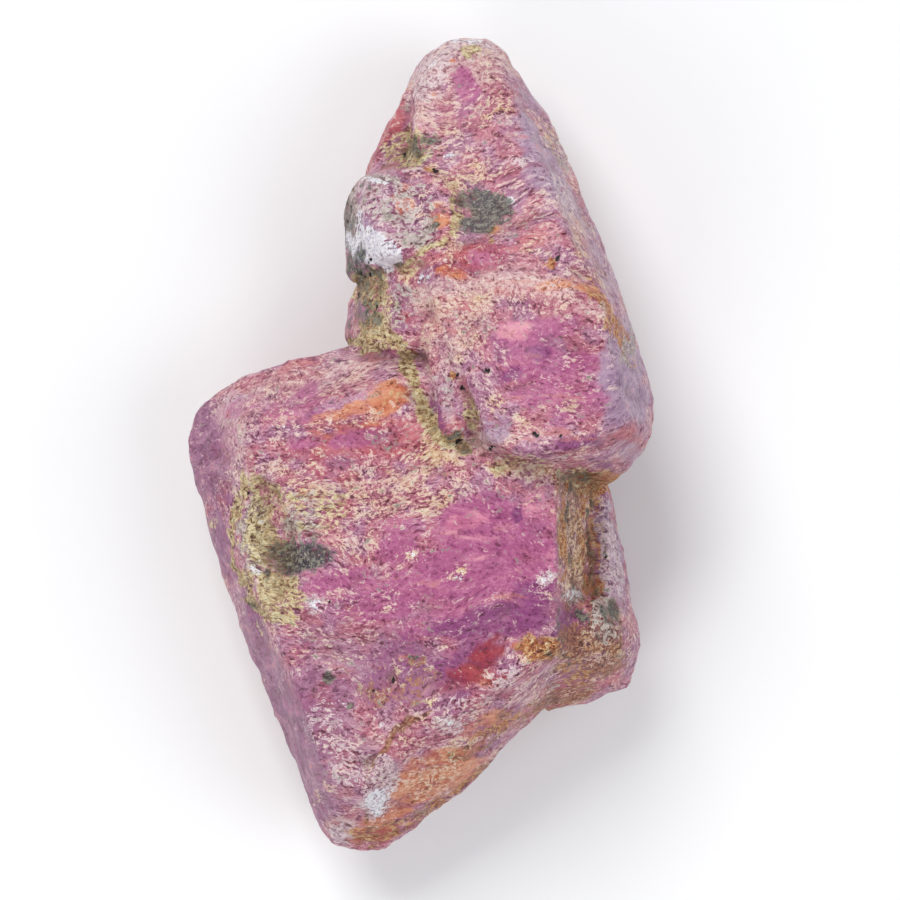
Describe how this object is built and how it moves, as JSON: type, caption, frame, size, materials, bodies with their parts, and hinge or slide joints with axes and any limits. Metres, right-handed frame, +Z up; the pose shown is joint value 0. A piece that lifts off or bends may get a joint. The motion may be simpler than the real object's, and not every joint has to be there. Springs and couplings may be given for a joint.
{
  "type": "raw ruby crystal",
  "caption": "Raw ruby specimen: worn six-sided corundum crystals grown together in one stepped lump with matrix-filled pockets, lying on its flattened back.",
  "frame": {"origin": "centre of the stone's footprint box, on the plane that its flattened back rests on", "axes": "+Y runs along the stone's length towards the point of the tall crystal, +Z points up out of the face seen in the picture, +X to that face's right"},
  "size_m": [0.0444, 0.078, 0.0286],
  "materials": {
    "raw_ruby": null
  },
  "bodies": {
    "root": {"ruby_crystal": "raw_ruby"}
  },
  "joints": []
}
